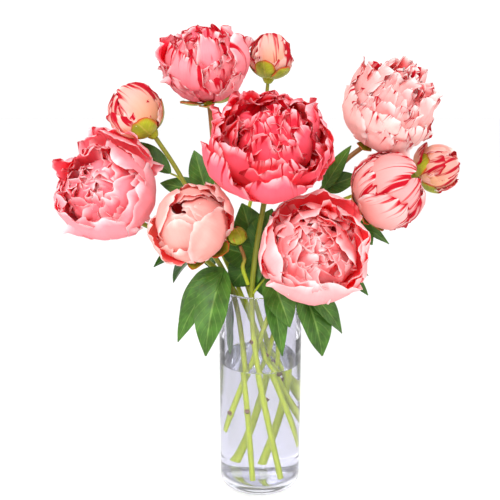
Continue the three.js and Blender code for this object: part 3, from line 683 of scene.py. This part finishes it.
FULL = {
    "guard_petals": (
        {**GUARD, "length": 1.7, "curl": 108},
        dict(Count=8, tilt=(-0.04, 0.1), size=(1.0, 0.9), height=(0.0, 0.06), depth=(0.0, 0.1), Ruffle=0.14,
             Tilt_Spread=0.12),
    ),
    "middle_petals": (
        {**BROAD, "length": 1.45, "curl": 122},
        dict(Count=15, tilt=(-0.2, 0.06), size=(1.08, 0.98), ring=(0.08, 0.06), height=(0.1, 0.34),
             depth=(0.2, 0.7), Ruffle=0.14, Tilt_Spread=0.2),
    ),
    "heart_petals": (
        RUFFLED,
        dict(Count=50, tilt=(-0.42, 0.3), size=(1.26, 0.96), ring=(0.26, 0.02), height=(0.3, 0.68),
             depth=(0.3, 1.0), Ruffle=0.14, Tilt_Spread=0.26),
    ),
}
BALL = {
    "outer_petals": (
        SHORT,
        dict(Count=5, size=(1.0, 0.98), height=(-0.02, 0.02), depth=(0.0, 0.1), Ruffle=0.09,
             Tilt_Spread=0.12),
    ),
    "guard_petals": (
        WRAP,
        dict(Count=9, tilt=(-0.04, 0.08), size=(1.0, 0.92), height=(0.0, 0.06), depth=(0.1, 0.4), Ruffle=0.13,
             Tilt_Spread=0.18),
    ),
    "heart_petals": (
        CLOSED,
        dict(Count=11, size=(0.97, 0.78), height=(0.01, 0.16), depth=(0.3, 1.0), Ruffle=0.07,
             Tilt_Spread=0.1),
    ),
}
# The outer petals of a closed bloom are drawn as a piece of their own, and stand for its guard petals in
# the CAD.
STANDS_FOR = {"outer_petals": "guard_petals"}

# Each flower: radius in millimetres, the seed of its petals, its whorls, and the faces and backs of its
# petals.
FLOWERS = {
    "centre_bloom": dict(radius=62, seed=11, whorls=OPEN, faces=[coral_face, coral_back], slot="coral_petal",
                         height=0.94),
    "front_bloom": dict(radius=58, seed=22, whorls=ROSETTE, faces=[blush_face, blush_back],
                        slot="blush_petal", height=0.8),
    "left_bloom": dict(radius=56, seed=33, whorls=ROSETTE, faces=[rose_face, rose_back], slot="rose_petal",
                       height=0.88),
    "top_bloom": dict(radius=46, seed=44, whorls=FULL, faces=[pink_face, pink_back], slot="pink_petal"),
    "right_bloom": dict(radius=52, seed=55, whorls=FULL, faces=[cream_face, cream_back], slot="cream_petal"),
    "pale_bloom": dict(radius=44, seed=66, whorls=BALL, faces=[pale_face, pale_back], slot="cream_petal"),
    "low_right_bloom": dict(radius=41, seed=77, whorls=BALL, faces=[cream_face, striped_back],
                            slot="cream_petal"),
}
BUDS = {
    "top_bud": dict(radius=27, seed=88, faces=[bud_face, bud_back]),
    "left_bud": dict(radius=31, seed=99, faces=[bud_face, bud_back]),
    "right_bud": dict(radius=28, seed=111, faces=[bud_face, bud_back]),
}


def flower(name, radius, seed, whorls, faces, slot, height=1.0):
    place = flower_place(f"{name}_calyx", name, CUP_CORNERS)
    sepal = {"length": SEPAL_LENGTH / radius, "half_width": SEPAL_HALF_WIDTH / radius}
    finished(calyx_piece(name, place, radius, seed, sepal), "sepal", f"{name}_calyx")
    for part, (shape, settings) in whorls.items():
        seed += 1
        piece = whorl_piece(f"{name}_{part}", place, radius, shape, seed, settings, faces, height=height)
        finished(piece, slot, f"{name}_{STANDS_FOR.get(part, part)}")


def bud(name, radius, seed, faces):
    place = flower_place(f"{name}_calyx", name, CUP_CORNERS)
    finished(calyx_piece(name, place, radius, seed, BUD_SEPAL), "sepal", f"{name}_calyx")
    for part, (shape, settings) in BALL.items():
        seed += 1
        piece = whorl_piece(f"{name}_{part}", place, radius, shape, seed, settings, faces)
        finished(piece, "bud_petal", f"{name}_petals")


for name, looks in FLOWERS.items():
    flower(name, **looks)
for name, looks in BUDS.items():
    bud(name, **looks)


# ---- Stems ----


def smooth_path(corners, spacing):
    """Points a given distance apart on a smooth curve through the corners."""
    ends = np.vstack([2 * corners[0] - corners[1], corners, 2 * corners[-1] - corners[-2]])
    curve = []
    for before, start, end, after in zip(ends, ends[1:], ends[2:], ends[3:]):
        for t in np.linspace(0, 1, 24, endpoint=False):
            curve.append(0.5 * (2 * start + (end - before) * t
                                + (2 * before - 5 * start + 4 * end - after) * t**2
                                + (3 * start - before - 3 * end + after) * t**3))
    curve = np.vstack([curve, corners[-1]])
    travelled = np.concatenate([[0], np.cumsum(np.linalg.norm(np.diff(curve, axis=0), axis=1))])
    stops = np.linspace(0, travelled[-1], max(4, int(travelled[-1] / spacing)))
    return np.stack([np.interp(stops, travelled, curve[:, axis]) for axis in range(3)], axis=1)


def stalk_tree():
    """A stalk along a path: round, tapered, faintly ridged, and a little swollen at its nodes."""
    tree = bpy.data.node_groups.new("stalk", "GeometryNodeTree")
    tree.interface.new_socket("Path", in_out="INPUT", socket_type="NodeSocketGeometry")
    for name, kind in (("Radius", "Float"), ("Taper", "Float"), ("Swelling", "Float"), ("Sides", "Int"),
                       ("Skin", "Material")):
        tree.interface.new_socket(name, in_out="INPUT", socket_type=f"NodeSocket{kind}")
    tree.interface.new_socket("Stalk", in_out="OUTPUT", socket_type="NodeSocketGeometry")
    given = add(tree, "NodeGroupInput")
    line = add(tree, "GeometryNodeMeshToCurve", {"Mesh": (given, "Path")})
    along = add(tree, "GeometryNodeInputNamedAttribute", {"Name": "along"}, data_type="FLOAT")
    node = add(tree, "GeometryNodeInputNamedAttribute", {"Name": "node"}, data_type="FLOAT")
    where = add(tree, "GeometryNodeInputPosition")
    thin = add(tree, "ShaderNodeMath", {0: (along, "Attribute"), 1: (given, "Taper")}, operation="MULTIPLY")
    slim = add(tree, "ShaderNodeMath", {0: 1.0, 1: (thin, "Value")}, operation="SUBTRACT")
    fuller = add(tree, "ShaderNodeMath", {0: (node, "Attribute"), 1: (given, "Swelling"), 2: (slim, "Value")},
                 operation="MULTIPLY_ADD")
    lumps = add(tree, "ShaderNodeTexNoise", {"Vector": (where, "Position"), "Scale": 1 / (30 * MM)})
    uneven = add(tree, "ShaderNodeMapRange", {"Value": (lumps, "Fac"), "To Min": 0.86, "To Max": 1.14})
    share = add(tree, "ShaderNodeMath", {0: (fuller, "Value"), 1: (uneven, "Result")}, operation="MULTIPLY")
    radius = add(tree, "ShaderNodeMath", {0: (share, "Value"), 1: (given, "Radius")}, operation="MULTIPLY")
    sized = add(tree, "GeometryNodeSetCurveRadius", {"Curve": (line, "Curve"), "Radius": (radius, "Value")})
    ring = add(tree, "GeometryNodeCurvePrimitiveCircle", {"Resolution": (given, "Sides"), "Radius": 1.0})
    skin = add(tree, "GeometryNodeCurveToMesh",
               {"Curve": (sized, "Curve"), "Profile Curve": (ring, "Curve"), "Scale": (radius, "Value"),
                "Fill Caps": True})
    real = add(tree, "GeometryNodeRealizeInstances", {"Geometry": (skin, "Mesh")})
    done = add(tree, "GeometryNodeSetMaterial", {"Geometry": (real, "Geometry"), "Material": (given, "Skin")})
    add(tree, "NodeGroupOutput", {"Stalk": (done, "Geometry")})
    return tree


stalk = stalk_tree()


def stalk_mesh(path, nodes, radius, taper, swelling, sides, skin):
    """A stalk along a path. Its nodes are heights, in metres, where a leaf or a side shoot grew."""
    line = bpy.data.meshes.new("path")
    line.from_pydata(path.tolist(), [(i, i + 1) for i in range(len(path) - 1)], [])
    cut = sum((np.exp(-(((path[:, 2] - height) / (4 * MM)) ** 2)) for height in nodes), np.zeros(len(path)))
    for key, values in (("along", np.linspace(0, 1, len(path))), ("node", cut)):
        line.attributes.new(key, "FLOAT", "POINT").data.foreach_set("value", values)
    mesh = grown(stalk, line, {"Radius": radius, "Taper": taper, "Swelling": swelling, "Sides": sides,
                               "Skin": skin})
    mesh.shade_smooth()
    return mesh


def stub_piece(path, height, radius, azimuth):
    """The short brown stub that is left at a node where a leaf was cut off. It points up and out."""
    start = path[np.abs(path[:, 2] - height).argmin()]
    out = np.array([math.cos(azimuth), math.sin(azimuth), 1.0])
    line = start + np.outer(np.linspace(0, radius + 1.2 * MM, 5), out)
    return shown("stub", stalk_mesh(line, [], 2.2 * MM, -0.25, 0.0, 12, cut_stub))


# Each stem: its radius in millimetres, the heights of its nodes in millimetres, and its skin.
STEMS = {
    "centre_bloom": (3.4, [118, 190], fresh_stalk),
    "front_bloom": (3.3, [96, 150], fresh_stalk),
    "left_bloom": (3.3, [136, 205], fresh_stalk),
    "top_bloom": (3.4, [88, 168, 300], brown_stalk),
    "right_bloom": (3.3, [127, 230], brown_stalk),
    "pale_bloom": (3.2, [104, 176], fresh_stalk),
    "low_right_bloom": (3.2, [142, 262], fresh_stalk),
    "left_bud": (3.0, [160, 318], fresh_stalk),
    "top_bud": (2.4, [], fresh_stalk),
    "right_bud": (2.4, [], brown_stalk),
    "small_bud": (2.3, [], brown_stalk),
}

for name, (radius, nodes, skin) in STEMS.items():
    path = smooth_path(stem_rings(name), 3 * MM)
    mesh = stalk_mesh(path, [node * MM for node in nodes], radius * MM, 0.1, 0.16, 16, skin)
    mesh.set_sharp_from_angle(angle=math.radians(50))
    stubs = [stub_piece(path, node * MM, radius * MM, node * GOLDEN_ANGLE) for node in nodes]
    finished(joined_piece(f"{name}_stem", [shown("stalk", mesh), *stubs]), "stalk", f"{name}_stem")

# ---- Leaves ----
# Each leaf: the stem it springs from and at what height, where its petiole forks, which way its upper face
# looks, and its leaflets, each with the place of its tip, its full width and how far its back is arched. In
# millimetres.

LEAVES = {
    "leaf_front_left": ("pale_bloom", 272, (-42, -42, 288), (-0.35, -0.75, 0.55),
                        [((-62, -80, 197), 42, 16), ((-96, -46, 201), 28, 22), ((-98, -6, 214), 32, 26)]),
    "leaf_front": ("centre_bloom", 250, (10, -40, 280), (0.1, -0.85, 0.5),
                   [((32, -72, 228), 36, 10), ((24, -68, 192), 26, 6)]),
    "leaf_front_right": ("front_bloom", 262, (45, -40, 266), (0.5, -0.7, 0.5),
                         [((70, -62, 190), 44, 12), ((94, -42, 210), 30, 16)]),
    "leaf_right": ("low_right_bloom", 296, (74, -2, 284), (0.2, -0.55, 0.8),
                   [((126, -22, 250), 28, 12), ((132, 20, 262), 30, 14), ((98, 24, 232), 30, 12)]),
    "leaf_under_bloom": ("low_right_bloom", 338, (104, 16, 332), (0.2, -0.6, 0.75),
                         [((132, -2, 306), 32, 6), ((154, 10, 304), 20, 8)]),
    "leaf_between": ("right_bloom", 360, (73, 8, 370), (-0.1, -0.8, 0.55),
                     [((114, 10, 386), 26, 6), ((103, -8, 424), 20, 4)]),
    "leaf_behind_left": ("top_bloom", 345, (-64, 34, 358), (-0.1, -0.75, 0.6),
                         [((-80, 46, 412), 30, 4), ((-122, 46, 372), 28, 8)]),
    "leaf_beside_bud": ("left_bud", 378, (-106, 18, 388), (-0.4, -0.5, 0.75), [((-152, 30, 424), 24, 8)]),
    "leaf_centre": ("centre_bloom", 278, (-4, -10, 294), (0, -0.95, 0.3),
                    [((-22, -12, 358), 46, 3), ((13, -14, 352), 42, 3), ((-50, -12, 306), 38, 4),
                     ((34, -14, 300), 38, 3), ((-36, -10, 258), 42, 4), ((4, -12, 246), 30, 2)]),
    "leaf_back_left": ("top_bloom", 280, (-52, 40, 296), (-0.5, 0.55, 0.65),
                       [((-112, 78, 236), 40, 22), ((-62, 104, 246), 38, 22), ((-132, 38, 268), 32, 20)]),
    "leaf_back": ("right_bloom", 262, (8, 52, 290), (0.05, 0.75, 0.65),
                  [((4, 108, 214), 44, 24), ((50, 104, 236), 36, 22), ((-34, 104, 222), 34, 22)]),
    "leaf_back_right": ("right_bloom", 292, (68, 46, 300), (0.5, 0.5, 0.7),
                        [((130, 84, 260), 38, 20), ((92, 106, 268), 34, 20), ((118, 52, 234), 34, 20)]),
    "leaf_in_vase": ("left_bloom", 244, (-36, 3, 232), (-0.85, -0.4, 0.35), [((-37, -8, 168), 23, 1)]),
}
PETIOLE_RADIUS = 1.4 * MM


def unit(vector):
    return vector / np.linalg.norm(vector, axis=-1, keepdims=True)


def leaflet(base, face, tip, width, arch, seed):
    """One leaflet as a grid: pointed at both ends, folded a little along its midrib, wavy at its margin, and
    arched back from its face."""
    rng = np.random.default_rng(seed)
    rows, columns = 26, 12
    base, tip = np.array(base) * MM, np.array(tip) * MM
    look = unit(np.array(face, float))
    v, u = np.meshgrid(np.linspace(0, 1, rows + 1), np.linspace(-1, 1, columns + 1), indexing="ij")
    crown = (base + tip) / 2 + look * arch * MM
    t = v[..., None]
    midrib = (1 - t) ** 2 * base + 2 * t * (1 - t) * crown + t**2 * tip
    forward = unit(2 * (1 - t) * (crown - base) + 2 * t * (tip - crown))
    across = unit(np.cross(forward, look))
    normal = np.cross(across, forward)
    roll = rng.uniform(-0.35, 0.35) * v[..., None] ** 1.5
    across, normal = (across * np.cos(roll) + normal * np.sin(roll),
                      normal * np.cos(roll) - across * np.sin(roll))
    half = width / 2 * MM * np.maximum(0.04, np.sin(np.pi * v**0.8) ** 0.85)
    wave = 0.07 * np.sin(rng.uniform(9, 13) * v + rng.uniform(0, 6.3) + u) * np.abs(u) ** 2
    fold = 0.3 * np.abs(u) - 0.1 * u**2
    points = midrib + across * (half * u)[..., None] + normal * (half * (fold + wave))[..., None]
    uv = np.stack([u / 2 + 0.5, v], axis=-1).reshape(-1, 2)
    return mesh_of("leaflet", points.reshape(-1, 3), grid_faces(rows, columns)[:, ::-1], uv=uv)


def leaf_piece(name, stem, height, fork, face, leaflets, seed):
    rings = smooth_path(stem_rings(stem), 2 * MM)
    spring = rings[np.abs(rings[:, 2] - height * MM).argmin()]
    path = smooth_path(np.array([spring, (spring + np.array(fork) * MM) / 2 + [0, 0, 2 * MM],
                                 np.array(fork) * MM]), 2 * MM)
    stalk_part = shown("petiole", stalk_mesh(path, [], PETIOLE_RADIUS, 0.2, 0.0, 10, fresh_stalk))
    parts = [stalk_part]
    for number, (tip, width, arch) in enumerate(leaflets):
        mesh = leaflet(fork, face, tip, width, arch, seed + number)
        parts.append(sheet_piece("leaflet", mesh, 0.5 * MM, [leaf_top, leaf_under]))
    return joined_piece(name, parts)


for number, (name, (stem, height, fork, face, leaflets)) in enumerate(LEAVES.items()):
    piece = leaf_piece(name, stem, height, fork, face, leaflets, 500 + 10 * number)
    finished(piece, "leaf", name)


def small_bud():
    """The one bud that is still tight: all green, and grown straight from the end of its stem."""
    radius, drop = 12, 8 * MM
    place = flower_place("small_bud", "small_bud", SMALL_BUD_CORNERS) @ Matrix.Translation((0, 0, -drop))
    spiral = {"Count": 7, "size": (1.0, 0.8), "height": (0.0, 0.3), "ring": (0.12, 0.05)}
    piece = whorl_piece("small_bud", place, radius, CLOSED, 640, spiral, [sepal_green, sepal_green], 0.5)
    finished(piece, "sepal", "small_bud")


small_bud()

# ---- Vase and water ----

# In millimetres.
VASE = dict(radius=50, height=255, wall=3, floor=12, foot=10, heel=7)
WATER_LEVEL = 160
INTO_GLASS = 0.04
CLIMB = 2.2  # of the water at the glass, which falls away within a few times CLIMB_WIDTH
CLIMB_WIDTH = 1.6
SIDES = 160


def arc(x, z, radius, start, end, steps=10):
    """Points of a round corner in a profile, in millimetres and degrees."""
    return [(x + radius * math.cos(math.radians(a)), z + radius * math.sin(math.radians(a)))
            for a in np.linspace(start, end, steps + 1)]


def turned_piece(name, profile, material, slot):
    points, faces = lathe(np.array(profile) * MM, SIDES)
    mesh = bpy.data.meshes.new(name)
    mesh.from_pydata(points.tolist(), [], faces)
    mesh.shade_smooth()
    mesh.set_sharp_from_angle(angle=math.radians(40))
    mesh.materials.append(material)
    return finished(shown(name, mesh), slot, name)


def vase():
    radius, height, wall, floor, foot, heel = VASE.values()
    lip = wall / 2
    inside = radius - wall
    hollow = [(0, 0.6), (26, 0.6), (30, 0)]
    outside = [*arc(radius - foot, foot, foot, -90, 0), *arc(radius - lip, height - lip, lip, 0, 180)]
    profile = [*hollow, *outside, *arc(inside - heel, floor + heel, heel, 0, -90), (0, floor)]
    return turned_piece("vase", profile, soda_glass, "glass")


def water():
    """The water touches the glass, so it stands a hair into it, and climbs a little way up it at the edge."""
    reach = VASE["radius"] - VASE["wall"] + INTO_GLASS
    floor, heel = VASE["floor"] - INTO_GLASS, VASE["heel"]
    climb = [(reach - out, WATER_LEVEL + CLIMB * math.exp(-out / CLIMB_WIDTH))
             for out in (0, 0.5, 1, 2, 3, 4.5, 7, 11)]
    profile = [(0, floor), *arc(reach - heel, floor + heel, heel, -90, 0), *climb, (0, WATER_LEVEL)]
    return turned_piece("water", profile, vase_water, "water")


# Light passes straight through clear glass and water, so neither darkens what is in it or behind it.
for clear_piece in (vase(), water()):
    clear_piece.visible_shadow = False


# ---- Camera, light and floor ----

LOOKS_DOWN = 14  # degrees
camera = bpy.data.objects.new("camera", bpy.data.cameras.new("camera"))
camera.location = (-12.5 * MM, -897.5 * MM, 523.2 * MM)
camera.rotation_euler = (math.radians(90 - LOOKS_DOWN), 0, 0)
camera.data.lens = 56.1
camera.data.sensor_width = 36
camera.data.clip_start = 0.01
bpy.context.scene.collection.objects.link(camera)
bpy.context.scene.camera = camera
bpy.context.scene.view_settings.view_transform = "Standard"

# Light turns many times in the glass and the water before it comes out again.
for kind in ("max", "transmission", "glossy", "diffuse"):
    setattr(bpy.context.scene.cycles, f"{kind}_bounces", 32)


def softbox(name, place, aim, size, power):
    light = bpy.data.lights.new(name, "AREA")
    light.shape = "SQUARE"
    light.size = size
    light.energy = power
    lamp = bpy.data.objects.new(name, light)
    lamp.location = place
    lamp.rotation_euler = (Vector(aim) - Vector(place)).to_track_quat("-Z", "Y").to_euler()
    bpy.context.scene.collection.objects.link(lamp)
    return lamp


world = bpy.data.worlds.new("studio")
world.use_nodes = True
world.node_tree.nodes["Background"].inputs["Color"].default_value = (1, 1, 1, 1)
world.node_tree.nodes["Background"].inputs["Strength"].default_value = 1.1
bpy.context.scene.world = world
softbox("key", (-0.5, -1.6, 1.35), (0, 0, 0.35), 0.9, 30)
softbox("fill", (1.6, -1.0, 1.0), (0, 0, 0.3), 1.4, 8)

floor_mesh = bpy.data.meshes.new("floor")
floor_mesh.from_pydata([(-6, -6, 0), (6, -6, 0), (6, 6, 0), (-6, 6, 0)], [], [(0, 1, 2, 3)])
floor = shown("floor", floor_mesh)
paper = new_material("white paper floor", {"Base Color": (0.9, 0.9, 0.9, 1), "Roughness": 0.8})[0]
floor_mesh.materials.append(paper)
